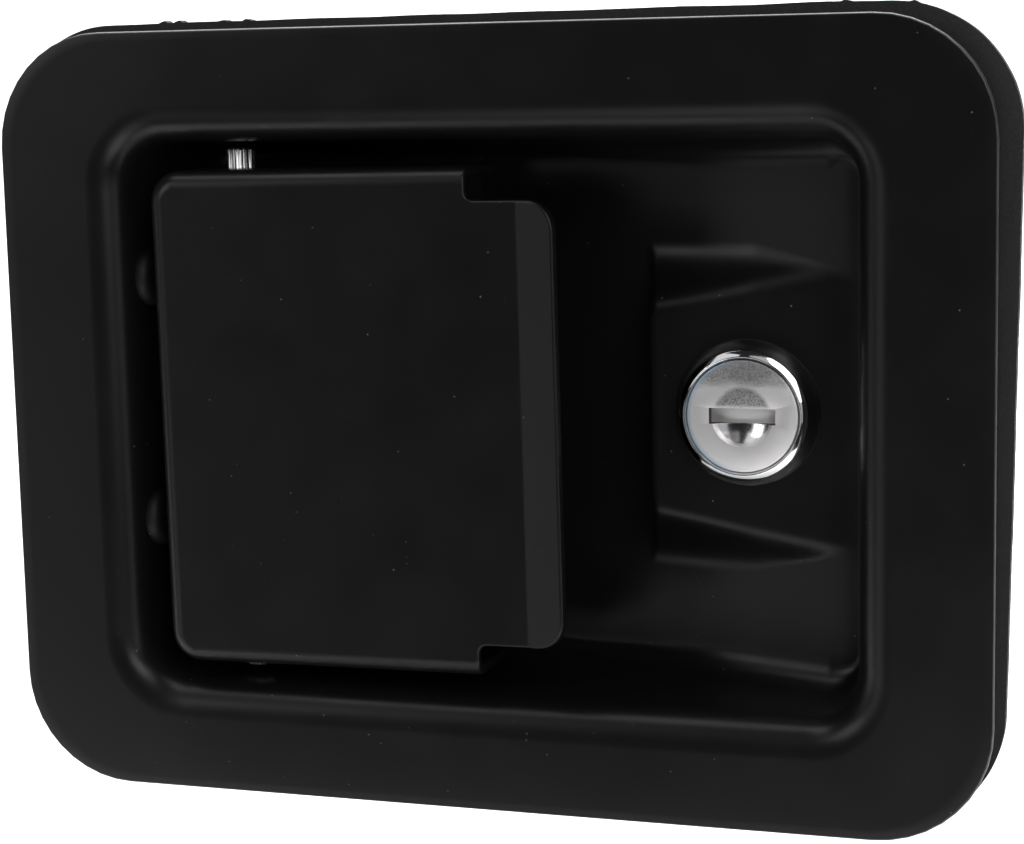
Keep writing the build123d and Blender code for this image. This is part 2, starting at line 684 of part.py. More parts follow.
def make_lock_washer():
    with BuildPart() as lock_washer:
        add(lock_disc(shelf_depth + sheet, washer_r, washer_thick))
        add(lock_disc(shelf_depth, barrel_r + lock_fit, barrel_r), mode=Mode.SUBTRACT)
    return lock_washer.part


def make_lock_nut():
    start = shelf_depth + sheet + washer_thick
    with BuildPart() as lock_nut:
        with BuildSketch(lock_plane(start)):
            RegularPolygon(nut_flats / 2, 6, major_radius=False, rotation=30)
            Circle(barrel_r, mode=Mode.SUBTRACT)
        extrude(amount=-nut_thick)
        add(bore(lock_plane(start), 0.98 * nut_flats / sqrt(3), 2 * nut_thick), mode=Mode.INTERSECT)
    return lock_nut.part


def make_lock_cam():
    """Cam on the plug's tail. It hangs down when unlocked and stands behind the bolt's tail when locked."""
    with BuildPart() as lock_cam:
        with BuildSketch(lock_plane(plug_end)):
            Circle(cam_hub_r)
            with Locations((0, -cam_reach + cam_tip_half / 2)):
                RectangleRounded(2 * cam_tip_half, cam_tip_half, 1.5)
            make_hull()
            Rectangle(2 * tail_half, 2 * tail_half, mode=Mode.SUBTRACT)
        extrude(amount=-cam_thick)
    return lock_cam.part


def make_cam_washer():
    with BuildPart() as cam_washer:
        add(lock_disc(plug_end + cam_thick, cam_washer_r, cam_washer_thick))
        add(lock_disc(plug_end, screw_r + lock_fit, barrel_r), mode=Mode.SUBTRACT)
    return cam_washer.part


def make_cam_screw():
    under_head = plug_end + cam_thick + cam_washer_thick
    with BuildPart() as cam_screw:
        add(lock_disc(screw_end, screw_r, under_head - screw_end))
        add(lock_disc(under_head, screw_head_r, screw_head_high))
        back_edge = cam_screw.edges().filter_by(GeomType.CIRCLE).sort_by(Axis.Y)[-1]
        fillet(back_edge, 0.5 * screw_head_high)
        with BuildSketch(lock_plane(under_head + 0.5 * screw_head_high)):
            Rectangle(0.8 * screw_head_r, 0.9)
            Rectangle(0.9, 0.8 * screw_head_r)
        extrude(amount=-screw_head_high, mode=Mode.SUBTRACT)
    return cam_screw.part


pieces = {
    "face_pan": make_face_pan(),
    "gasket": make_gasket(),
    "mounting_studs": make_mounting_studs(),
    "paddle": make_paddle(),
    "drive_lever": make_drive_lever(),
    "hinge_pin": make_hinge_pin(),
    "paddle_spring": make_paddle_spring(),
    "pivot_bracket": make_pivot_bracket(),
    "latch_bolt": make_latch_bolt(),
    "bolt_bracket": make_bolt_bracket(),
    "bolt_spring": make_bolt_spring(),
    "spring_guide": make_spring_guide(),
    "bracket_rivets": make_bracket_rivets(),
    "lock_housing": make_lock_housing(),
    "plug_cap": make_plug_cap(),
    "lock_plug": make_lock_plug(),
    "dust_shutter": make_dust_shutter(),
    "lock_washer": make_lock_washer(),
    "lock_nut": make_lock_nut(),
    "lock_cam": make_lock_cam(),
    "cam_washer": make_cam_washer(),
    "cam_screw": make_cam_screw(),
}
for index in range(wafer_count):
    pieces[f"wafer_{index + 1}"] = make_wafer(index)

os.makedirs("parts", exist_ok=True)
for name, piece in pieces.items():
    piece.label = name
    export_step(piece, f"parts/{name}.step")
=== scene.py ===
import json
import math
import random

import bmesh
import bpy
from mathutils import Matrix, Vector, noise


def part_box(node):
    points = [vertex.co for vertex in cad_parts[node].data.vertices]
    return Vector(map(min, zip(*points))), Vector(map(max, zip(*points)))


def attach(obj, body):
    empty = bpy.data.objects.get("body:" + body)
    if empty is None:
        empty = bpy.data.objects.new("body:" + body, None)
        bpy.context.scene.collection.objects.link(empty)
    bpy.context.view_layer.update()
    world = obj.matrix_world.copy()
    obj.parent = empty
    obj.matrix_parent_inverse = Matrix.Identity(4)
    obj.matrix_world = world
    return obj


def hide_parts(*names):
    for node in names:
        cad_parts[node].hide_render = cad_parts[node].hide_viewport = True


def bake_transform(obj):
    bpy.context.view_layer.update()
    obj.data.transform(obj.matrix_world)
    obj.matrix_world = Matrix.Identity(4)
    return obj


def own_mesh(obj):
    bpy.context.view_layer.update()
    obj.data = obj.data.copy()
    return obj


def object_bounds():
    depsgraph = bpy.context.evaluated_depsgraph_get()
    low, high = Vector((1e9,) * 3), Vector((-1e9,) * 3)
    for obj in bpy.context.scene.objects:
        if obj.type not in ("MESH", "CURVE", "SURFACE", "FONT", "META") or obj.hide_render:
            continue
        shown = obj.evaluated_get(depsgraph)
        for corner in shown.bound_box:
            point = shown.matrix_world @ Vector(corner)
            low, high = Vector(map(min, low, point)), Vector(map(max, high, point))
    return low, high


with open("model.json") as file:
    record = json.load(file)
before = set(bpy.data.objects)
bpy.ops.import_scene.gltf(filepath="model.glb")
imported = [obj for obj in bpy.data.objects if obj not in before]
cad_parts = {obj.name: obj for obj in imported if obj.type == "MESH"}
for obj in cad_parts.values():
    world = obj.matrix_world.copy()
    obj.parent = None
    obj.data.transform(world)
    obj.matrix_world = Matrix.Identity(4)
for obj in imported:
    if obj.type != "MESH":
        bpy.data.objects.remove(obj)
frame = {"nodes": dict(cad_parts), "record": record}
cadBox = [list(corner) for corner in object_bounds()]
mm = 0.001
hair = 0.01  # mm, tells one surface from the next
pole = 0.001  # mm, radius of a ring that welds into a point
weldReach = 0.002  # mm, points closer than this are joined
sliver = 0.0005  # mm, shorter edges are dissolved
random.seed(7)

plateLow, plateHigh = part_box("face_pan")
capLow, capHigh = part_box("plug_cap")
lockX = (capLow.x + capHigh.x) / 2 / mm
lockZ = (capLow.z + capHigh.z) / 2 / mm
front = plateLow.y / mm  # y of the face plate's front, in mm
print("frame loaded, face plate front at", round(front, 2), "mm")


def makeMesh(name, points, faces):  # points in mm
    mesh = bpy.data.meshes.new(name)
    mesh.from_pydata([(x * mm, y * mm, z * mm) for x, y, z in points], [], faces)
    piece = bpy.data.objects.new(name, mesh)
    bpy.context.collection.objects.link(piece)
    return piece


def tidyMesh(piece, outward=True):
    bm = bmesh.new()
    bm.from_mesh(piece.data)
    bmesh.ops.remove_doubles(bm, verts=bm.verts, dist=weldReach * mm)
    bmesh.ops.dissolve_degenerate(bm, edges=bm.edges, dist=sliver * mm)
    if outward:
        bmesh.ops.recalc_face_normals(bm, faces=bm.faces)
    bm.to_mesh(piece.data)
    bm.free()


def bake(piece, sharpAngle=None):  # applies every modifier and sets the shading
    graph = bpy.context.evaluated_depsgraph_get()
    mesh = bpy.data.meshes.new_from_object(piece.evaluated_get(graph))
    piece.modifiers.clear()
    old = piece.data
    piece.data = mesh
    mesh.name = piece.name
    bpy.data.meshes.remove(old)
    mesh.shade_smooth()
    if sharpAngle is not None:
        mesh.set_sharp_from_angle(angle=math.radians(sharpAngle))
    return piece


def addModifier(piece, kind, **settings):
    modifier = piece.modifiers.new(kind.title(), kind)
    for key, value in settings.items():
        setattr(modifier, key, value)


def roundEdges(piece, width, segments, angle):
    addModifier(piece, "BEVEL", width=width * mm, segments=segments, limit_method="ANGLE",
                angle_limit=math.radians(angle), use_clamp_overlap=True, harden_normals=False)


def boxCutter(place, size):  # centre and full size in mm
    bpy.ops.mesh.primitive_cube_add(size=1, location=[value * mm for value in place],
                                    scale=[value * mm for value in size])
    return bpy.context.object


def cutAway(piece, cutter):
    addModifier(piece, "BOOLEAN", object=cutter, operation="DIFFERENCE", solver="EXACT")
    bake(piece)
    bpy.data.objects.remove(cutter)


def faceFront(piece):  # the skin's outer side looks to the front, so that its thickness grows backwards
    if sum(face.normal.y * face.area for face in piece.data.polygons) > 0:
        piece.data.flip_normals()


def ringFaces(rings, steps, capped=False):  # joins closed rings that have the same number of points
    faces = []
    for ring in range(rings - 1):
        for step in range(steps):
            a, b = ring * steps + step, ring * steps + (step + 1) % steps
            faces.append((a, b, b + steps, a + steps))
    if capped:
        faces += [tuple(reversed(range(steps))), tuple(range((rings - 1) * steps, rings * steps))]
    return faces


def lathe(name, profile, centre, steps):
    # profile: (radius, depth) pairs in mm, turned about an axis along +Y through centre
    points = []
    for radius, depth in profile:
        for step in range(steps):
            turn = 2 * math.pi * step / steps
            x, z = centre[0] + radius * math.cos(turn), centre[1] + radius * math.sin(turn)
            points.append((x, front + depth, z))
    piece = makeMesh(name, points, ringFaces(len(profile), steps))
    tidyMesh(piece)
    return piece


def angles(start, end, steps):  # degrees in, radians out
    return [math.radians(start + (end - start) * step / steps) for step in range(steps + 1)]


def arc(centre, radius, start, end, steps):
    return [(centre[0] + radius * math.cos(turn), centre[1] + radius * math.sin(turn))
            for turn in angles(start, end, steps)]


def mix(a, b, t):
    return a + (b - a) * t


def clamp(value):
    return min(max(value, 0.0), 1.0)


def softMin(a, b, width):
    if width < 1e-6:
        return min(a, b)
    overlap = max(width - abs(a - b), 0.0)
    return min(a, b) - overlap * overlap / (4 * width)


def softMax(a, b, width):
    return -softMin(-a, -b, width)


class Tap:  # one socket of a node, usable in sums
    def __init__(self, shop, socket):
        self.shop, self.socket = shop, socket

    def sum(self, operation, first, second):
        return self.shop.node("ShaderNodeMath", {"operation": operation}, {0: first, 1: second})

    def __add__(self, other):
        return self.sum("ADD", self, other)

    __radd__ = __add__

    def __sub__(self, other):
        return self.sum("SUBTRACT", self, other)

    def __rsub__(self, other):
        return self.sum("SUBTRACT", other, self)

    def __mul__(self, other):
        return self.sum("MULTIPLY", self, other)

    __rmul__ = __mul__

    def __gt__(self, other):
        return self.sum("GREATER_THAN", self, other)


class Shop:  # one material and the nodes in it
    def __init__(self, name):
        self.material = bpy.data.materials.new(name)
        self.material.use_nodes = True
        self.tree = self.material.node_tree
        self.tree.nodes.clear()

    def node(self, kind, settings=None, sockets=None, out=0):
        made = self.tree.nodes.new(kind)
        for key, value in (settings or {}).items():
            setattr(made, key, value)
        for key, value in (sockets or {}).items():
            if isinstance(value, Tap):
                self.tree.links.new(value.socket, made.inputs[key])
            elif isinstance(value, tuple) and len(value) == 3 and made.inputs[key].type == "RGBA":
                made.inputs[key].default_value = (*value, 1)
            else:
                made.inputs[key].default_value = value
        return Tap(self, made.outputs[out]) if made.outputs else None

    def place(self):
        return self.node("ShaderNodeTexCoord", out="Object")

    def stretched(self, place, scale):
        return self.node("ShaderNodeMapping", {}, {"Vector": place, "Scale": scale})

    def along(self, place, axis):
        return self.node("ShaderNodeSeparateXYZ", {}, {0: place}, axis)

    def noise(self, place, scale, detail, rough=0.5):
        sockets = {"Scale": scale, "Detail": detail, "Roughness": rough, "Vector": place}
        return self.node("ShaderNodeTexNoise", {}, sockets, "Fac")

    def cells(self, place, scale):
        return self.node("ShaderNodeTexVoronoi", {}, {"Scale": scale, "Vector": place}, "Distance")

    def ramp(self, value, low, high, fromLow, fromHigh):
        sockets = {"Value": value, "From Min": fromLow, "From Max": fromHigh, "To Min": low, "To Max": high}
        return self.node("ShaderNodeMapRange", {}, sockets)

    def spread(self, value, ends):  # draws the range that a noise mostly keeps to out between two ends
        return self.ramp(value, *ends, 0.3, 0.7)

    def blend(self, mask, colourA, colourB):
        return self.node("ShaderNodeMix", {"data_type": "RGBA"}, {0: mask, 6: colourA, 7: colourB}, 2)

    def bump(self, height, strength, distance):  # distance in mm
        sockets = {"Height": height, "Strength": strength, "Distance": distance * mm}
        return self.node("ShaderNodeBump", {}, sockets)

    def finish(self, **sockets):
        named = {key.replace("_", " "): value for key, value in sockets.items()}
        shader = self.node("ShaderNodeBsdfPrincipled", {}, named)
        self.node("ShaderNodeOutputMaterial", {}, {"Surface": shader})
        return self.material


powderCoat = {
    "black": (0.005, 0.005, 0.0052), "worn": (0.007, 0.007, 0.0072), "cloudPerMetre": 35,
    "dust": (0.14, 0.14, 0.135), "speckPerMetre": 420, "speckSize": (0.02, 0.07), "speckRough": 0.25,
    "patchPerMetre": 294, "patchShare": 0.56,  # specks lie only where this noise is above the share
    "roughness": (0.28, 0.34), "smudgePerMetre": 120, "specular": 0.25,
    "thick": 0.22,  # added to the roughness where the coat lies thick
    "grainPerMetre": 2600, "grainHeight": 0.012, "grainStrength": 0.35,
}


def makePowderCoat(name, settings, extra=0.0):
    shop = Shop(name)
    place = shop.place()
    chosen = shop.noise(place, settings["patchPerMetre"], detail=0) > settings["patchShare"]
    cell = shop.cells(place, settings["speckPerMetre"])
    speck = shop.ramp(cell, 1.0, 0.0, *settings["speckSize"]) * chosen
    cloud = shop.noise(place, settings["cloudPerMetre"], detail=4)
    colour = shop.blend(cloud, settings["black"], settings["worn"])
    colour = shop.blend(speck, colour, settings["dust"])
    smudge = shop.noise(place, settings["smudgePerMetre"], detail=3)
    rough = shop.spread(smudge, [level + extra for level in settings["roughness"]])
    rough = rough + settings["speckRough"] * speck
    grain = shop.noise(place, settings["grainPerMetre"], detail=2, rough=0.6)
    relief = shop.bump(grain, settings["grainStrength"], settings["grainHeight"])
    specular = settings["specular"]
    return shop.finish(Base_Color=colour, Roughness=rough, Normal=relief, Specular_IOR_Level=specular)


metals = {
    # light tone, dark tone, roughness, brush marks per metre, strength of their relief, their stretch
    "zincPlate": ((0.34, 0.34, 0.33), (0.22, 0.225, 0.225), (0.28, 0.42), 900, 0.15, (1, 1, 0.15)),
    "polishedChrome": ((0.78, 0.78, 0.79), (0.7, 0.7, 0.71), (0.04, 0.09), 500, 0.04, (1, 1, 1)),
    "frostedSteel": ((0.98, 0.97, 0.96), (0.74, 0.73, 0.73), (0.5, 0.65), 3200, 1.6, (1, 1, 1)),
    # a lighter metal for edge bevels, a painted highlight standing in for their bright edge lines
    "paintedEdgeHighlight": ((0.1, 0.1, 0.1), (0.05, 0.05, 0.05), (0.3, 0.4), 700, 0.15, (1, 1, 1)),
    # a near-black metal, painted shade for the inside of the lock's slot
    "paintedSlotShade": ((0.03, 0.03, 0.03), (0.015, 0.015, 0.015), (0.4, 0.5), 1500, 0.15, (1, 1, 1)),
    "machinedBrass": ((0.6, 0.43, 0.18), (0.45, 0.31, 0.12), (0.25, 0.4), 1200, 0.15, (1, 1, 1)),
    "springWire": ((0.42, 0.42, 0.42), (0.3, 0.3, 0.3), (0.25, 0.38), 1500, 0.15, (1, 1, 1)),
    "steelRod": ((0.6, 0.6, 0.59), (0.42, 0.42, 0.42), (0.2, 0.35), 1500, 0.15, (1, 1, 0.2)),
}
metalWear = {"cloudPerMetre": 90, "brushShare": 0.6, "cloudShare": 0.4, "brushDepth": 0.01}


def makeMetal(name, light, dark, roughness, brushPerMetre, relief, stretch):
    shop = Shop(name)
    place = shop.place()
    brush = shop.noise(shop.stretched(place, stretch), brushPerMetre, detail=3, rough=0.6)
    cloud = shop.noise(place, metalWear["cloudPerMetre"], detail=4)
    colour = shop.blend(cloud, dark, light)
    rough = shop.spread(brush * metalWear["brushShare"] + cloud * metalWear["cloudShare"], roughness)
    raised = shop.bump(brush, relief, metalWear["brushDepth"])
    return shop.finish(Base_Color=colour, Metallic=1.0, Roughness=rough, Normal=raised)


foamSkin = {
    "black": (0.009, 0.009, 0.0095), "grey": (0.017, 0.017, 0.018), "greyFrom": (0.3, 0.9),
    "poresPerMetre": 2400, "poreStrength": 0.35, "poreDepth": 0.05, "cloudPerMetre": 160, "cloudShare": 0.5,
    "roughness": 0.85,
}


def makeFoam(name, settings):
    shop = Shop(name)
    place = shop.place()
    pores = shop.cells(place, settings["poresPerMetre"])
    cloud = shop.noise(place, settings["cloudPerMetre"], detail=3)
    tone = shop.ramp(pores + cloud * settings["cloudShare"], 0.0, 1.0, *settings["greyFrom"])
    colour = shop.blend(tone, settings["black"], settings["grey"])
    relief = shop.bump(pores, settings["poreStrength"], settings["poreDepth"])
    return shop.finish(Base_Color=colour, Roughness=settings["roughness"], Normal=relief)


blastedCap = {
    "light": (0.76, 0.745, 0.75), "dark": (0.07, 0.07, 0.075), "shaded": (0.045, 0.045, 0.05),
    "film": (0.3, 0.46, 0.6), "roughness": (0.42, 0.55), "polish": 0.17,
    "grainPerMetre": 5000, "grainStrength": 0.5, "grainHeight": 0.02,
    "patchPerMetre": 420, "patchStretch": (0.35, 1, 1),
    # where each mark fades, in mm out, up or aside from the lock's axis, and how far its edge strays
    "dimple": (3.9, 4.5), "dimpleStray": 0.6, "polishedBelow": (-1.2, -0.4), "paintedShadeAbove": (0.9, 1.6),
    "darkerTop": (5.6, 7.4), "topStray": 4.0, "shadedAside": (-1.8, 0.8), "shadedStray": 0.8,
    "filmRing": (7.0, 7.6), "filmAside": (-4.5, 1.0),
}


def makeCapFinish(name, settings):  # blasted disc with a dimple that is polished below the slot, with painted shade above the slot, a painted dark reflection on the polished part's left side, and darker towards the top
    shop = Shop(name)
    place = shop.place()
    flat = shop.node("ShaderNodeVectorMath", {"operation": "MULTIPLY"}, {0: place, 1: (1, 0, 1)})
    centre = (lockX * mm, 0, lockZ * mm)
    away = shop.node("ShaderNodeVectorMath", {"operation": "DISTANCE"}, {0: flat, 1: centre}, "Value")
    height = shop.along(place, "Z") - lockZ * mm
    aside = shop.along(place, "X") - lockX * mm
    grain = shop.noise(place, settings["grainPerMetre"], detail=3, rough=0.75)
    streaks = shop.stretched(place, settings["patchStretch"])
    patch = shop.noise(streaks, settings["patchPerMetre"], detail=3, rough=0.6)

    def fade(value, low, high, span, stray=None):
        if stray is not None:
            value = value + settings[stray] * mm * patch
        start, end = settings[span]
        return shop.ramp(value, low, high, start * mm, end * mm)

    inDimple = fade(away, 1.0, 0.0, "dimple", "dimpleStray")
    polished = inDimple * fade(height, 1.0, 0.0, "polishedBelow")
    # painted shade: the dimple above the slot is darkened with grainy patches; the top of the cap is darker
    # too
    worn = inDimple * fade(height, 0.0, 0.9, "paintedShadeAbove")
    worn = worn + fade(height, 0.0, 0.8, "darkerTop", "topStray")
    speckle = worn * shop.ramp(grain, 0.45, 1.0, 0.35, 0.65)
    colour = shop.blend(speckle, settings["light"], settings["dark"])
    # painted dark reflection: the polished dimple is darkened on its left side
    shaded = polished * fade(aside, 0.9, 0.0, "shadedAside", "shadedStray")
    colour = shop.blend(shaded, colour, settings["shaded"])
    film = fade(away, 0.0, 0.6, "filmRing") * fade(aside, 1.0, 0.0, "filmAside")
    colour = shop.blend(film, colour, settings["film"])
    rough = shop.spread(grain, settings["roughness"]) * (1 - polished) + settings["polish"] * polished
    relief = shop.bump(grain * (1 - polished), settings["grainStrength"], settings["grainHeight"])
    return shop.finish(Base_Color=colour, Metallic=1.0, Roughness=rough, Normal=relief)


paint = makePowderCoat("powderCoat", powderCoat)
thickPaint = makePowderCoat("thickPaint", powderCoat, powderCoat["thick"])
metal = {name: makeMetal(name, *row) for name, row in metals.items()}
capFinish = makeCapFinish("capFinish", blastedCap)
foam = makeFoam("foamSkin", foamSkin)
print("materials made")


def dress(piece, material, body):
    piece.data.materials.clear()
    piece.data.materials.append(material)
    if body:
        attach(piece, body)
    return piece


def finishFaces(piece, material, chosen):  # a second material, on the chosen faces
    piece.data.materials.append(material)
    for face in piece.data.polygons:
        face.material_index = 1 if chosen(face.center / mm, face.normal) else 0


panShape = {
    "mouthX": 104.4, "mouthZ": 78.0, "corner": 6.6, "draft": 5.0,
    "roll": 5.0, "floorRound": 3.8, "leftRound": 2.0, "rightRound": 1.4, "sheet": 1.5,
    "roundFrom": 8, "roundOver": 22,  # x where the wider round into the floor sets in, and its run
    "plateCorner": 15.9, "rimRound": 0.4, "rimAngle": 60,
    "deep": 27.0, "shelf": 16.0, "shelfX": 48.0, "slope": 13.0, "slopeBlend": 0.45,
    "padLeft": 20.8, "padHalf": 14.9, "padFlare": 0.18, "endDraft": 12.0, "cheekDraft": 37.5,
    "padCorner": 3.4, "endRound": 0.9, "cheekRound": 2.2, "baseRound": 4.5, "endBase": 0.6,
    "turnOver": 4, "baseFade": 3.0,
    "cellsX": 184, "cellsZ": 132, "cornerSteps": 10, "mouthSteps": 10, "footSteps": 8,
    "plateRows": (0, 0.14, 0.3, 0.5, 0.7, 0.88, 0.98), "wallRows": (0.25, 0.5, 0.75),
    "floorRows": (0.5, 1.0),
    "leverSlot": (-42.0, -16.0, 8.5), "lockHole": 8.05, "holeSnap": 0.4,
}


def floorDepth(x, z):  # how far the pan's floor lies behind the face plate
    s = panShape
    slope = s["shelf"] + (s["shelfX"] - x) * math.tan(math.radians(s["slope"]))
    ground = softMin(s["deep"], slope, s["slopeBlend"]) - s["shelf"]
    half = s["padHalf"] + (x - s["padLeft"]) * s["padFlare"]
    end = (s["padLeft"] - x) / math.tan(math.radians(s["endDraft"]))
    cheek = (abs(z - lockZ) - half) / math.tan(math.radians(s["cheekDraft"])) / math.hypot(1, s["padFlare"])
    steep = clamp((end - cheek) / s["turnOver"] + 0.5)
    side = softMax(end, cheek, s["padCorner"])
    pad = softMax(0.0, side, mix(s["cheekRound"], s["endRound"], steep))
    near = clamp(ground / s["baseFade"])
    return s["shelf"] + softMin(ground, pad, mix(s["baseRound"], s["endBase"], steep) * near)


def perimeter(halfX, halfZ, cellsX, cellsZ, steps):
    # points of a rectangle with the outward direction of each, with a fan of directions at the corners
    sides = (((halfX, -halfZ), (halfX, halfZ), cellsZ), ((halfX, halfZ), (-halfX, halfZ), cellsX),
             ((-halfX, halfZ), (-halfX, -halfZ), cellsZ), ((-halfX, -halfZ), (halfX, -halfZ), cellsX))
    ring = []
    for side, (start, end, cells) in enumerate(sides):
        facing = math.radians(90 * side)
        for cell in range(cells + 1):
            x, z = mix(start[0], end[0], cell / cells), mix(start[1], end[1], cell / cells)
            ring.append((x, z, math.cos(facing), math.sin(facing)))
        for step in range(1, steps):
            turn = facing + math.radians(90 * step / steps)
            ring.append((end[0], end[1], math.cos(turn), math.sin(turn)))
    return ring


def makePan():
    s = panShape
    draft, square = math.radians(s["draft"]), math.radians(90)
    halfX, halfZ = s["mouthX"] / 2 - s["corner"], s["mouthZ"] / 2 - s["corner"]
    plateX, plateZ = plateHigh.x / mm - s["plateCorner"], plateHigh.z / mm - s["plateCorner"]
    inner = perimeter(halfX, halfZ, s["cellsX"], s["cellsZ"], s["cornerSteps"])
    outer = perimeter(plateX, plateZ, s["cellsX"], s["cellsZ"], s["cornerSteps"])

    def wallReach(depth):
        return s["corner"] - depth * math.tan(draft)

    roll = s["roll"]
    rollOut = wallReach(roll) + roll / math.cos(draft)
    rings = []
    for share in s["plateRows"]:  # flat of the plate
        ring = []
        for (px, pz, nx, nz), (ox, oz, _, _) in zip(inner, outer):
            far = (ox + s["plateCorner"] * nx, oz + s["plateCorner"] * nz)
            close = (px + rollOut * nx, pz + rollOut * nz)
            ring.append((mix(far[0], close[0], share), front, mix(far[1], close[1], share)))
        rings.append(ring)
    for step in range(s["mouthSteps"] + 1):  # rolled mouth
        turn = mix(square, draft, step / s["mouthSteps"])
        reach, depth = rollOut - roll * math.cos(turn), roll - roll * math.sin(turn)
        rings.append([(px + reach * nx, front + depth, pz + reach * nz) for px, pz, nx, nz in inner])
    foot = []  # floor depth, radius of the round into it and reach of that round's centre, point by point
    for px, pz, nx, nz in inner:
        wide = mix(s["leftRound"], s["floorRound"], clamp((px - s["roundFrom"]) / s["roundOver"]))
        radius = mix(wide, s["rightRound"], max(nx, 0.0) ** 2)
        reach = wallReach(s["shelf"]) - radius / math.cos(draft)
        floor = floorDepth(px + reach * nx, pz + reach * nz)
        foot.append((floor, radius, wallReach(floor - radius) - radius / math.cos(draft)))
    for share in s["wallRows"]:
        ring = []
        for (px, pz, nx, nz), (floor, radius, centre) in zip(inner, foot):
            depth = mix(roll, floor - radius, share)
            ring.append((px + wallReach(depth) * nx, front + depth, pz + wallReach(depth) * nz))
        rings.append(ring)
    for step in range(s["footSteps"] + 1):  # round into the floor
        turn = mix(draft, square, step / s["footSteps"])
        ring = []
        for (px, pz, nx, nz), (floor, radius, centre) in zip(inner, foot):
            reach, depth = centre + radius * math.cos(turn), floor - radius + radius * math.sin(turn)
            ring.append((px + reach * nx, front + depth, pz + reach * nz))
        rings.append(ring)
    for share in s["floorRows"]:  # level rim of the floor, down to the corners of its grid
        ring = []
        for (px, pz, nx, nz), (floor, radius, centre) in zip(inner, foot):
            x, z = px + centre * (1 - share) * nx, pz + centre * (1 - share) * nz
            ring.append((x, front + floorDepth(x, z), z))
        rings.append(ring)
    points = [point for ring in rings for point in ring]
    faces = ringFaces(len(rings), len(inner))
    base = len(points)
    for row in range(s["cellsZ"] + 1):
        z = mix(-halfZ, halfZ, row / s["cellsZ"])
        for column in range(s["cellsX"] + 1):
            x = mix(-halfX, halfX, column / s["cellsX"])
            points.append((x, front + floorDepth(x, z), z))
    left, right, high = s["leverSlot"]
    wide = s["cellsX"] + 1
    for row in range(s["cellsZ"]):
        for column in range(s["cellsX"]):
            x = mix(-halfX, halfX, (column + 0.5) / s["cellsX"])
            z = mix(-halfZ, halfZ, (row + 0.5) / s["cellsZ"])
            inSlot = left < x < right and abs(z) < high
            inHole = math.hypot(x - lockX, z - lockZ) < s["lockHole"]
            if not (inSlot or inHole):
                a = base + row * wide + column
                faces.append((a, a + 1, a + 1 + wide, a + wide))
    for index in range(base, len(points)):  # true circle round the lock
        x, y, z = points[index]
        away = math.hypot(x - lockX, z - lockZ)
        if abs(away - s["lockHole"]) < s["holeSnap"]:
            scale = s["lockHole"] / away
            points[index] = (lockX + (x - lockX) * scale, y, lockZ + (z - lockZ) * scale)
    pan = makeMesh("pan", points, faces)
    tidyMesh(pan, outward=False)
    faceFront(pan)
    addModifier(pan, "SOLIDIFY", thickness=s["sheet"] * mm, offset=-1.0, use_even_offset=False)
    bake(pan)
    bm = bmesh.new()
    bm.from_mesh(pan.data)
    behind = (front + s["sheet"] + hair) * mm
    rim = [edge for edge in bm.edges if max(end.co.y for end in edge.verts) < behind
           and edge.calc_face_angle(0) > math.radians(s["rimAngle"])]
    bmesh.ops.bevel(bm, geom=rim, offset=s["rimRound"] * mm, offset_type="OFFSET", segments=4, profile=0.5,
                    affect="EDGES", clamp_overlap=True)
    bm.to_mesh(pan.data)
    bm.free()
    return bake(pan, sharpAngle=50)


rimHighlight = {"inset": 12, "depth": 1.45, "tilt": (0.05, 0.97)}  # where the rim's edge faces get a lighter metal, a painted highlight for the bright edge line, in mm


def onRim(centre, normal):
    inset = min(plateHigh.x / mm - abs(centre.x), plateHigh.z / mm - abs(centre.z))
    low, high = rimHighlight["tilt"]
    return inset < rimHighlight["inset"] and centre.y < front + rimHighlight["depth"] and low < abs(normal.y) < high


pan = dress(makePan(), paint, "pan")
# painted highlight: the rim's edge faces get the lighter edge metal
finishFaces(pan, metal["paintedEdgeHighlight"], onRim)
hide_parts("face_pan")
print("pan made:", len(pan.data.vertices), "points")


paddleShape = {
    "left": -47.4, "half": 35.1, "flange": 13.0, "corner": 4.4, "roll": 2.5, "sheet": 1.5,
    "notchX": -0.25, "notchRound": 1.2, "tabHalf": 30.55, "bendX": 6.85, "tipX": 12.2, "tipCorner": 4.0,
    "lip": 11.0, "bendRound": 2.6, "edgeRound": 0.4,
    "lean": 0.5, "leanX": -22.0, "sag": 0.27,  # play in the hinge lets it hang a little out of square
    "sideSteps": 30, "cornerSteps": 8, "rollSteps": 7, "flangeRows": (0.3, 0.65, 1.0),
    "bendSteps": 4, "tabSteps": 3, "tipSteps": 10, "notchSteps": 6, "rows": 20,
    "highlightPast": 0.4, "highlightTilt": (0.05, 0.45),  # painted highlight on the tab's edges: how far past the notch, and which way the faces look
}


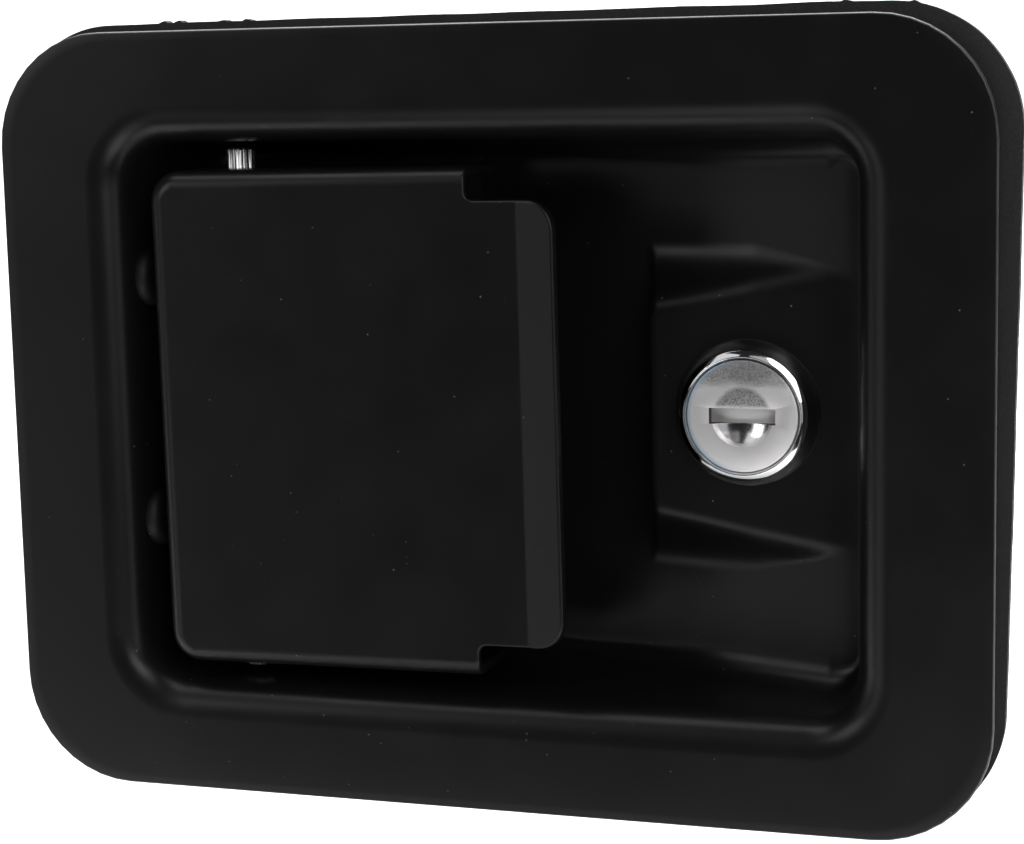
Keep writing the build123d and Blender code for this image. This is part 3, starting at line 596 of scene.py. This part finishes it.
def makePaddle():
    s = paddleShape
    cornerX, cornerZ = s["left"] + s["corner"], s["half"] - s["corner"]
    sides, corners = s["sideSteps"], s["cornerSteps"]
    path = []  # from the notch along the top, round the left side and back along the bottom
    for step in range(sides + 1):
        path.append((mix(s["notchX"], cornerX, step / sides), cornerZ, 0, 1))
    for turn in angles(90, 180, corners)[1:]:
        path.append((cornerX, cornerZ, math.cos(turn), math.sin(turn)))
    for step in range(1, sides + 1):
        path.append((cornerX, mix(cornerZ, -cornerZ, step / sides), -1, 0))
    for turn in angles(180, 270, corners)[1:]:
        path.append((cornerX, -cornerZ, math.cos(turn), math.sin(turn)))
    for step in range(1, sides + 1):
        path.append((mix(cornerX, s["notchX"], step / sides), -cornerZ, 0, -1))
    count = len(path)
    reach = s["corner"] - s["roll"]
    profile = [(reach + s["roll"] * math.sin(turn), s["roll"] - s["roll"] * math.cos(turn))
               for turn in angles(0, 90, s["rollSteps"])]
    profile += [(s["corner"], mix(s["roll"], s["flange"], share)) for share in s["flangeRows"]]
    points = [(px + r * nx, front + depth, pz + r * nz) for r, depth in profile for px, pz, nx, nz in path]
    faces = []
    for ring in range(len(profile) - 1):
        for step in range(count - 1):
            a = ring * count + step
            faces.append((a, a + 1, a + 1 + count, a + count))

    # tab: columns from the notch to the tip, the last ones bent out by the lip's angle
    flatEnd = s["bendX"] - s["bendRound"] * math.tan(math.radians(s["lip"] / 2))
    half, corner = s["tabHalf"], s["tipCorner"]
    bend = s["bendRound"]
    columns = [(flatEnd + bend * math.sin(turn), bend * (1 - math.cos(turn)), half)
               for turn in angles(0, s["lip"], s["bendSteps"])]
    bendX, bendOut = columns[-1][:2]
    slope = math.tan(math.radians(s["lip"]))
    for step in range(1, s["tabSteps"] + 1):
        x = mix(bendX, s["tipX"] - corner, step / s["tabSteps"])
        columns.append((x, bendOut + (x - bendX) * slope, half))
    for turn in angles(0, 90, s["tipSteps"])[1:]:
        x = s["tipX"] - corner + corner * math.sin(turn)
        columns.append((x, bendOut + (x - bendX) * slope, half - corner + corner * math.cos(turn)))
    rows = s["rows"]
    base = len(points)
    for x, out, reach in columns:
        points += [(x, front - out, mix(reach, -reach, row / rows)) for row in range(rows + 1)]
    for column in range(len(columns) - 1):
        for row in range(rows):
            a = base + column * (rows + 1) + row
            faces.append((a, a + rows + 1, a + rows + 2, a + 1))

    # flat face: one polygon between the rolled edge and the bend
    r = s["notchRound"]
    notch = [(s["notchX"] + r - r * math.cos(turn), half + r - r * math.sin(turn))
             for turn in angles(0, 90, s["notchSteps"])]
    outline = list(reversed(range(count)))  # from the bottom notch to the top one along the rolled edge
    outline += range(len(points), len(points) + len(notch))
    points += [(x, front, z) for x, z in notch]
    outline += range(base, base + rows + 1)
    outline += range(len(points), len(points) + len(notch))
    points += [(x, front, -z) for x, z in reversed(notch)]
    faces.append(tuple(outline))
    # the rolled edge stays open where the sheet is cut beside the notch
    paddle = makeMesh("pullPaddle", points, faces)
    tidyMesh(paddle)
    faceFront(paddle)
    addModifier(paddle, "SOLIDIFY", thickness=s["sheet"] * mm, offset=-1.0, use_even_offset=True)
    addModifier(paddle, "DECIMATE", decimate_type="DISSOLVE", angle_limit=math.radians(1))
    bake(paddle)
    roundEdges(paddle, s["edgeRound"], segments=4, angle=60)
    bake(paddle, sharpAngle=40)
    pivot = Matrix.Translation((s["leanX"] * mm, 0, 0))
    turn = pivot @ Matrix.Rotation(math.radians(-s["lean"]), 4, "Y") @ pivot.inverted()
    paddle.data.transform(Matrix.Translation((0, 0, -s["sag"] * mm)) @ turn)
    addModifier(paddle, "WEIGHTED_NORMAL", keep_sharp=True)
    return paddle


def onTabEdge(centre, normal):
    low, high = paddleShape["highlightTilt"]
    return centre.x > paddleShape["notchX"] - paddleShape["highlightPast"] and low < normal.y < high


paddle = dress(makePaddle(), paint, "paddle")
# painted highlight: the tab's edge faces get the lighter edge metal
finishFaces(paddle, metal["paintedEdgeHighlight"], onTabEdge)
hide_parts("paddle")
print("paddle made")


lockShape = {
    "face": 12.0, "seat": 16.0, "well": 7.82, "wellDepth": 1.65, "ring": 9.0, "crest": 8.14,
    "headBack": 10.2, "innerRound": 0.14, "lipRound": 0.2, "backRound": 0.15,
    "capReach": 7.72, "capEdge": 0.2, "capThick": 1.6, "capRound": 0.08,
    "slot": (9.2, 2.2), "slotCut": 6, "dimple": 4.3, "dimpleDeep": 1.35,
    "barrel": 8.0, "flats": 14.6, "barrelEnd": 32.2, "bore": 6.05,
    "pitch": 1.0, "threadDeep": 0.45, "threadStart": 1.7, "threadCrest": 0.2, "threadRoot": 0.55,
    "grooveRun": (17.7, 27.7), "grooveReach": 6.4, "grooveHalf": 3.05, "steps": 128,
}


def makeLockHead():
    s = lockShape
    face, seat, well, barrel, pitch = s["face"], s["seat"], s["well"], s["barrel"], s["pitch"]
    lip, back, end = s["lipRound"], s["backRound"], s["barrelEnd"]
    profile = [(s["bore"], end), (s["bore"], face + s["wellDepth"]), (well, face + s["wellDepth"]),
               (well, face + 0.5), (well + 0.04, face + 0.3)]
    # lip from the well over the crest to the ring, then the flare down to the seat
    profile += arc((well + 0.2, face + 0.33), s["innerRound"], 200, 245, 4)
    profile += arc((s["crest"], face + 0.22), lip, -114, -62, 5)
    profile += arc((s["ring"] - lip, face + 0.62), lip, -62, -6, 5)
    profile += [(s["ring"] + 0.5, seat - 1.3), (s["ring"] + 0.95, seat - 0.6)]
    profile += arc((s["headBack"] - back, seat - back), back, -60, 0, 3)
    profile += [(s["headBack"], seat), (barrel, seat)]
    for turn in range(int((end - seat - s["threadStart"]) / pitch)):
        start = seat + s["threadStart"] + turn * pitch
        profile += [(barrel, start), (barrel, start + s["threadCrest"] * pitch),
                    (barrel - s["threadDeep"], start + s["threadRoot"] * pitch)]
    profile += [(barrel - 0.1, end - 0.4), (barrel - 0.5, end), (s["bore"], end)]
    head = lathe("lockHead", profile, (lockX, lockZ), s["steps"])
    for vertex in head.data.vertices:  # two flats along the barrel
        if vertex.co.y > (front + seat + hair) * mm:
            rise = vertex.co.z / mm - lockZ
            if abs(rise) > s["flats"] / 2:
                vertex.co.z = (lockZ + math.copysign(s["flats"] / 2, rise)) * mm
    tidyMesh(head)
    first, last = s["grooveRun"]
    middle = (lockX, front + (first + last) / 2, lockZ)
    reach, half = s["grooveReach"], s["grooveHalf"]
    for wide, high in ((reach, half), (half, reach)):  # two crossed grooves that the wafers slide into
        cutAway(head, boxCutter(middle, (2 * wide, last - first, 2 * high)))
    return bake(head, sharpAngle=35)


def makeDimpleCutter():  # the half of a ball that reaches dimpleDeep behind the cap's face
    s = lockShape
    radius = (s["dimple"] ** 2 + s["dimpleDeep"] ** 2) / (2 * s["dimpleDeep"])
    depth = front + s["face"] + s["dimpleDeep"] - radius
    bpy.ops.mesh.primitive_uv_sphere_add(segments=96, ring_count=96, radius=radius * mm,
                                         location=(lockX * mm, depth * mm, lockZ * mm))
    ball = bpy.context.object
    bm = bmesh.new()
    bm.from_mesh(ball.data)
    bmesh.ops.transform(bm, matrix=Matrix.Rotation(math.radians(90), 4, "X"), verts=bm.verts)
    cut = bmesh.ops.bisect_plane(bm, geom=bm.verts[:] + bm.edges[:] + bm.faces[:], plane_co=(0, 0, 0),
                                 plane_no=(0, 0, 1), clear_outer=True)
    bmesh.ops.contextual_create(bm, geom=[e for e in cut["geom_cut"] if isinstance(e, bmesh.types.BMEdge)])
    bm.to_mesh(ball.data)
    bm.free()
    return ball


def makeCap():
    s = lockShape
    reach, edge, face, back = s["capReach"], s["capEdge"], s["face"], s["face"] + s["capThick"]
    profile = [(pole, face), (reach - edge, face), (reach - edge * 0.3, face + edge * 0.3),
               (reach, face + edge), (reach, back), (pole, back)]
    cap = lathe("plugFace", profile, (lockX, lockZ), s["steps"])
    cutAway(cap, makeDimpleCutter())
    cutAway(cap, boxCutter((lockX, front + face + 1, lockZ), (s["slot"][0], s["slotCut"], s["slot"][1])))
    roundEdges(cap, s["capRound"], segments=2, angle=50)
    return bake(cap, sharpAngle=30)


def onSlotWall(centre, normal):  # the slot's walls get a near-black metal, painted shade for the slot's dark outline
    long, high = lockShape["slot"]
    inSlot = abs(centre.x - lockX) < long / 2 + 2 * hair and abs(centre.z - lockZ) < high / 2 + 2 * hair
    return inSlot and abs(normal.y) < 0.5


lockHead = dress(makeLockHead(), metal["polishedChrome"], "pan")
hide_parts("lock_housing")
plugFace = dress(makeCap(), capFinish, "plug")
# painted shade: near-black metal on the slot's walls
finishFaces(plugFace, metal["paintedSlotShade"], onSlotWall)
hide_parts("plug_cap")
print("lock made")


pinShape = {
    "x": -36.6, "depth": 8.6, "radius": 2.0, "low": -37.2, "high": 37.5, "tip": 0.25,
    "teeth": 16, "toothDeep": 0.22, "toothRun": 5.0, "toothFade": 0.4, "stepsPerTooth": 6,
}


def makePin():
    s = pinShape
    low, high, run, fade, tip = s["low"], s["high"], s["toothRun"], s["toothFade"], s["tip"]
    stations = [  # z, share of the radius, whether the teeth are cut there
        (low, 0.5, 0), (low, 0.85, 0), (low + tip, 1, 1), (low + run, 1, 1), (low + run + fade, 1, 0),
        (high - run - fade, 1, 0), (high - run, 1, 1), (high - tip, 1, 1), (high, 0.85, 0), (high, 0.5, 0),
    ]
    steps = s["teeth"] * s["stepsPerTooth"]
    points = []
    for z, share, toothed in stations:
        for step in range(steps):
            turn = 2 * math.pi * step / steps
            wave = 0.5 - 0.5 * math.cos(turn * s["teeth"])
            radius = s["radius"] * share - s["toothDeep"] * toothed * wave
            x, y = s["x"] + radius * math.cos(turn), front + s["depth"] + radius * math.sin(turn)
            points.append((x, y, z))
    pin = makeMesh("splinedPin", points, ringFaces(len(stations), steps, capped=True))
    tidyMesh(pin)
    return bake(pin, sharpAngle=45)


studShape = {
    "radius": 2.5, "plain": 1.6, "end": 0.6, "tip": 0.3, "steps": 32,
    "pitch": 0.8, "threadDeep": 0.4, "threadCrest": (0.4, 0.55),
}


def makeStuds():
    s = studShape
    low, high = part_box("mounting_studs")
    start, end = low.y / mm - front, high.y / mm - front
    r, deep, pitch = s["radius"], s["threadDeep"], s["pitch"]
    crestStart, crestEnd = s["threadCrest"]
    profile = [(pole, start), (r, start), (r, start + s["plain"])]
    for turn in range(int((end - start - s["plain"] - s["end"]) / pitch)):
        at = start + s["plain"] + (turn + 0.5) * pitch
        profile += [(r - deep, at), (r, at + crestStart * pitch), (r, at + crestEnd * pitch)]
    profile += [(r - deep, end - s["end"]), (r - deep - s["tip"], end), (pole, end)]
    spots = [(x, z) for x in (low.x / mm + r, high.x / mm - r) for z in (low.z / mm + r, high.z / mm - r)]
    studs = lathe("threadedStuds", profile, spots[0], s["steps"])
    bm = bmesh.new()
    bm.from_mesh(studs.data)
    first = bm.verts[:] + bm.edges[:] + bm.faces[:]
    for x, z in spots[1:]:
        copied = bmesh.ops.duplicate(bm, geom=first)["geom"]
        copied = [part for part in copied if isinstance(part, bmesh.types.BMVert)]
        bmesh.ops.translate(bm, verts=copied, vec=((x - spots[0][0]) * mm, 0, (z - spots[0][1]) * mm))
    bm.to_mesh(studs.data)
    bm.free()
    return bake(studs, sharpAngle=25)


def makeTube(name, path, radius, sides=10):
    points = []
    across = None
    for index, point in enumerate(path):
        ahead = Vector(path[min(index + 1, len(path) - 1)]) - Vector(path[max(index - 1, 0)])
        ahead.normalize()
        across = ahead.orthogonal() if across is None else across - ahead * across.dot(ahead)
        across.normalize()
        beside = ahead.cross(across)
        for side in range(sides):
            turn = 2 * math.pi * side / sides
            out = math.cos(turn) * across + math.sin(turn) * beside
            points.append(tuple(Vector(point) + radius * out))
    tube = makeMesh(name, points, ringFaces(len(path), sides, capped=True))
    tidyMesh(tube)
    return bake(tube, sharpAngle=60)


stepsPerTurn = 28
boltSpringShape = {"wire": 0.5, "turns": 8, "closed": 1.0}


def makeBoltSpring():
    s = boltSpringShape
    low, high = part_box("bolt_spring")
    radius = (high.z - low.z) / 2 / mm - s["wire"]
    axisY, axisZ = (low.y + high.y) / 2 / mm, (low.z + high.z) / 2 / mm
    start, end = low.x / mm + s["wire"], high.x / mm - s["wire"]
    total = s["turns"] + 2 * s["closed"]
    path = []
    for step in range(int(total * stepsPerTurn) + 1):
        turn = step / stepsPerTurn
        if turn < s["closed"]:
            x = start + turn * 2 * s["wire"]
        elif turn > total - s["closed"]:
            x = end - (total - turn) * 2 * s["wire"]
        else:
            share = (turn - s["closed"]) / s["turns"]
            x = mix(start + 2 * s["wire"] * s["closed"], end - 2 * s["wire"] * s["closed"], share)
        angle = 2 * math.pi * turn
        path.append((x, axisY + radius * math.cos(angle), axisZ + radius * math.sin(angle)))
    return makeTube("boltSpring", path, s["wire"])


torsionShape = {
    "wire": 0.6, "radius": 3.1, "turns": 4, "half": 3.2, "legStep": 1.0,
    "panLegX": 7.6, "panLegDepth": 24.4, "paddleLegX": 4.6, "paddleLegDepth": 2.1,
}


def makeTorsionSpring():
    s = torsionShape
    centreX, centreY = pinShape["x"], front + pinShape["depth"]
    path = [(centreX - s["panLegX"], front + s["panLegDepth"], -s["half"])]
    steps = s["turns"] * stepsPerTurn
    for step in range(steps + 1):
        turn = math.pi + 2 * math.pi * step / stepsPerTurn
        z = mix(-s["half"], s["half"], step / steps)
        path.append((centreX + s["radius"] * math.cos(turn), centreY - s["radius"] * math.sin(turn), z))
    path.append((centreX - s["paddleLegX"], front + s["paddleLegDepth"], s["half"]))
    dense = []
    for start, end in zip(path, path[1:]):
        pieces = max(1, int((Vector(end) - Vector(start)).length / s["legStep"]))
        dense += [tuple(Vector(start).lerp(Vector(end), k / pieces)) for k in range(pieces)]
    dense.append(path[-1])
    return makeTube("torsionSpring", dense, s["wire"])


pin = dress(makePin(), metal["steelRod"], "paddle")
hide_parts("hinge_pin")
studs = dress(makeStuds(), metal["zincPlate"], "pan")
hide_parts("mounting_studs")
boltSpring = dress(makeBoltSpring(), metal["springWire"], "pan")
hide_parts("bolt_spring")
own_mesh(boltSpring)
torsion = dress(makeTorsionSpring(), metal["springWire"], None)
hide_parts("paddle_spring")
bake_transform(torsion)
print("pin, studs and springs made")


gasketShape = {
    "corner": 17.4, "holeX": 114.0, "holeZ": 87.6, "holeCorner": 9.5, "studHole": 4.0,
    "sunk": 1.0,  # the plate's edge stands a little clear of it
    "edgeSteps": (40, 240), "holeSteps": (8, 12), "studSteps": 32,  # round each corner and along each side
    "stretch": {  # how far each corner is pulled, by the signs of x and z
        (1, 1): (1.6, 0.3), (1, -1): (-0.6, 1.6), (-1, 1): (1.2, -0.3), (-1, -1): (1.2, 1.6),
    },
    "ragged": 0.12,
    "waves": ((0.12, 3, 1, 0.8), (1.3, 9, 5, 0.2)),  # waves per mm, spread at corners, layer, share
    "torn": (  # x, side and size of each nick in the edge
        (-46.4, 1, 0.35), (-43.9, 1, 0.3), (-37.0, 1, 0.2), (-33.5, 1, 0.25), (57.5, 1, 0.3), (49.0, 1, 0.2),
    ),
    "tornReach": 0.45,
}


def makeGasket():
    s = gasketShape
    low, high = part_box("gasket")
    low.y += s["sunk"] * mm
    curve = bpy.data.curves.new("foamGasket", "CURVE")
    curve.dimensions = "2D"
    curve.fill_mode = "BOTH"
    curve.extrude = (high.y - low.y) / 2

    def loop(outline):
        spline = curve.splines.new("POLY")
        spline.points.add(len(outline) - 1)
        for point, (x, z) in zip(spline.points, outline):
            point.co = (x * mm, z * mm, 0, 1)
        spline.use_cyclic_u = True

    def rounded(hx, hz, corner, steps, cells, ragged=0.0):
        out = []
        for px, pz, nx, nz in perimeter(hx - corner, hz - corner, cells, cells, steps):
            wander = 0.0
            for fine, fan, layer, share in s["waves"]:
                wander += noise.noise((px * fine + nx * fan, pz * fine + nz * fan, layer)) * share
            reach = corner + ragged * wander
            x, z = px + reach * nx, pz + reach * nz
            if ragged:
                for tornX, side, size in s["torn"]:
                    if nz * side > 0 and abs(x - tornX) < s["tornReach"]:
                        z += side * size * (0.5 + random.random())
                u, v = x / (2 * hx) + 0.5, z / (2 * hz) + 0.5
                pull = [mix(mix(s["stretch"][-1, -1][i], s["stretch"][1, -1][i], u),
                            mix(s["stretch"][-1, 1][i], s["stretch"][1, 1][i], u), v) for i in (0, 1)]
                x, z = x + pull[0], z + pull[1]
            out.append((x, z))
        return out

    loop(rounded(high.x / mm, high.z / mm, s["corner"], *s["edgeSteps"], s["ragged"]))
    loop(rounded(s["holeX"] / 2, s["holeZ"] / 2, s["holeCorner"], *s["holeSteps"]))
    for mount in frame["record"]["mounts"]:
        if mount["kind"] == "bolt_pattern":
            stepX, stepZ = mount["dims"]["spacing_x_mm"] / 2, mount["dims"]["spacing_y_mm"] / 2
    circle = [2 * math.pi * step / s["studSteps"] for step in range(s["studSteps"])]
    for sx in (-1, 1):
        for sz in (-1, 1):
            loop([(sx * stepX + s["studHole"] * math.cos(turn), sz * stepZ + s["studHole"] * math.sin(turn))
                  for turn in circle])
    flat = bpy.data.objects.new("gasketOutline", curve)
    bpy.context.collection.objects.link(flat)
    graph = bpy.context.evaluated_depsgraph_get()
    mesh = bpy.data.meshes.new_from_object(flat.evaluated_get(graph))
    upright = Matrix.Rotation(math.radians(90), 4, "X")
    mesh.transform(Matrix.Translation((0, (low.y + high.y) / 2, 0)) @ upright)
    bpy.data.objects.remove(flat)
    gasket = bpy.data.objects.new("foamGasket", mesh)
    bpy.context.collection.objects.link(gasket)
    tidyMesh(gasket)
    return bake(gasket, sharpAngle=40)


gasket = dress(makeGasket(), foam, "pan")
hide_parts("gasket")
print("gasket made")


# nodes that keep their solid shape and only get a finish
kept = {
    "pivot_bracket": thickPaint, "dust_shutter": metal["frostedSteel"], "lock_plug": metal["machinedBrass"],
    "spring_guide": metal["steelRod"],
}
for node in ("bolt_bracket", "drive_lever", "latch_bolt", "bracket_rivets", "lock_nut", "lock_washer",
             "lock_cam", "cam_washer", "cam_screw"):
    kept[node] = metal["zincPlate"]
for number in range(1, 6):
    kept[f"wafer_{number}"] = metal["machinedBrass"]
for node, material in kept.items():
    piece = frame["nodes"][node]
    piece.data.materials.clear()
    piece.data.materials.append(material)
paintedHeads = {"fromX": -52.8, "depth": 27}  # rivet heads inside the pan are painted with it


def onInnerHead(centre, normal):
    return centre.x > paintedHeads["fromX"] and centre.y < front + paintedHeads["depth"]


finishFaces(frame["nodes"]["bracket_rivets"], thickPaint, onInnerHead)
print("solid nodes finished")


stageSetup = {
    "floorDrop": 18.0, "near": -0.06, "reach": 2.5, "back": 0.9, "bend": 0.35,
    "paper": (0.86, 0.86, 0.86), "roughness": 0.9,
}


def makeStage():
    s = stageSetup
    floorZ = cadBox[0][2] - s["floorDrop"] * mm
    bendStart = s["back"] - s["bend"]
    profile = [(s["near"], floorZ), (bendStart, floorZ)]
    profile += [(bendStart + s["bend"] * math.sin(turn), floorZ + s["bend"] * (1 - math.cos(turn)))
                for turn in angles(0, 90, 9)[1:]]
    profile.append((s["back"], s["reach"]))
    points = [(side * s["reach"] / mm, y / mm, z / mm) for y, z in profile for side in (-1, 1)]
    faces = [(2 * i, 2 * i + 1, 2 * i + 3, 2 * i + 2) for i in range(len(profile) - 1)]
    sweep = makeMesh("paperSweep", points, faces)
    sweep.data.shade_smooth()
    sweep.data.materials.append(Shop("paper").finish(Base_Color=s["paper"], Roughness=s["roughness"]))


panelSize = (0.32, 0.36)
lamps = {
    # degrees round from the front and up, width and height in metres, brightness of the panel's face
    "farLeft": (-78, 0, panelSize, 0.45),
    "leftPanel": (-45, -15, panelSize, 1.0),
    "leftHigh": (-45, 18, panelSize, 2.6),
    "leftTop": (-35, 38, panelSize, 0.8),
    "frontTop": (12, 38, panelSize, 0.45),
    "rightPanel": (36, 0, panelSize, 0.5),
    "rightHigh": (36, 18, panelSize, 3.1),
    "rightTop": (36, 38, panelSize, 2.6),
    "sidePanel": (66, 0, panelSize, 1.0),
    "lowLeft": (-14, -38, panelSize, 0.9),
    "lowRight": (12, -38, panelSize, 3.1),
    "topPanel": (-60, 66, panelSize, 2.3),
    "overhead": (-10, 84, (0.4, 0.14), 2.0),
    "underPanel": (60, -66, panelSize, 0.5),
    "rimPanel": (120, 30, panelSize, 1.5),
}
lampDistance = 0.8
paperLamp = {"place": (0.0, 0.35, 1.6), "aim": (0.0, 0.9, -0.1), "size": (2.2, 0.5), "level": 17.0}
worldLevel = 0.02


def makeLamp(name, place, aim, size, level):
    light = bpy.data.lights.new(name, "AREA")
    light.shape = "RECTANGLE"
    light.size, light.size_y = size
    light.energy = level * math.pi * size[0] * size[1]
    lamp = bpy.data.objects.new(name, light)
    lamp.location = place
    lamp.rotation_euler = (Vector(aim) - Vector(place)).to_track_quat("-Z", "Y").to_euler()
    bpy.context.collection.objects.link(lamp)


def makeLamps():
    for name, (around, rise, size, level) in lamps.items():
        turn, lift = math.radians(around), math.radians(rise)
        aside, up = lampDistance * math.cos(lift), lampDistance * math.sin(lift)
        makeLamp(name, (aside * math.sin(turn), -aside * math.cos(turn), up), (0, 0, 0), size, level)
    makeLamp("paperLamp", **paperLamp)
    world = bpy.data.worlds.new("studio")
    world.use_nodes = True
    world.node_tree.nodes["Background"].inputs["Color"].default_value = (1, 1, 1, 1)
    world.node_tree.nodes["Background"].inputs["Strength"].default_value = worldLevel
    bpy.context.scene.world = world


cameraSetup = {
    "place": (0.10434, -0.30761, 0.04892), "ahead": (-0.30638, 0.94009, -0.14954),
    "up": (-0.02577, 0.14884, 0.98852), "lens": 84.09, "sensor": 36.0, "nearest": 0.01,
}


def makeCamera():
    s = cameraSetup
    ahead, up = Vector(s["ahead"]).normalized(), Vector(s["up"]).normalized()
    right = ahead.cross(up).normalized()
    up = right.cross(ahead)
    camera = bpy.data.cameras.new("view")
    camera.lens, camera.sensor_width, camera.clip_start = s["lens"], s["sensor"], s["nearest"]
    holder = bpy.data.objects.new("view", camera)
    turn = Matrix((right, up, -ahead)).transposed().to_4x4()
    holder.matrix_world = Matrix.Translation(s["place"]) @ turn
    bpy.context.collection.objects.link(holder)
    bpy.context.scene.camera = holder


makeStage()
makeLamps()
makeCamera()
bpy.context.scene.view_settings.view_transform = "Standard"
print("stage, lamps and camera made")
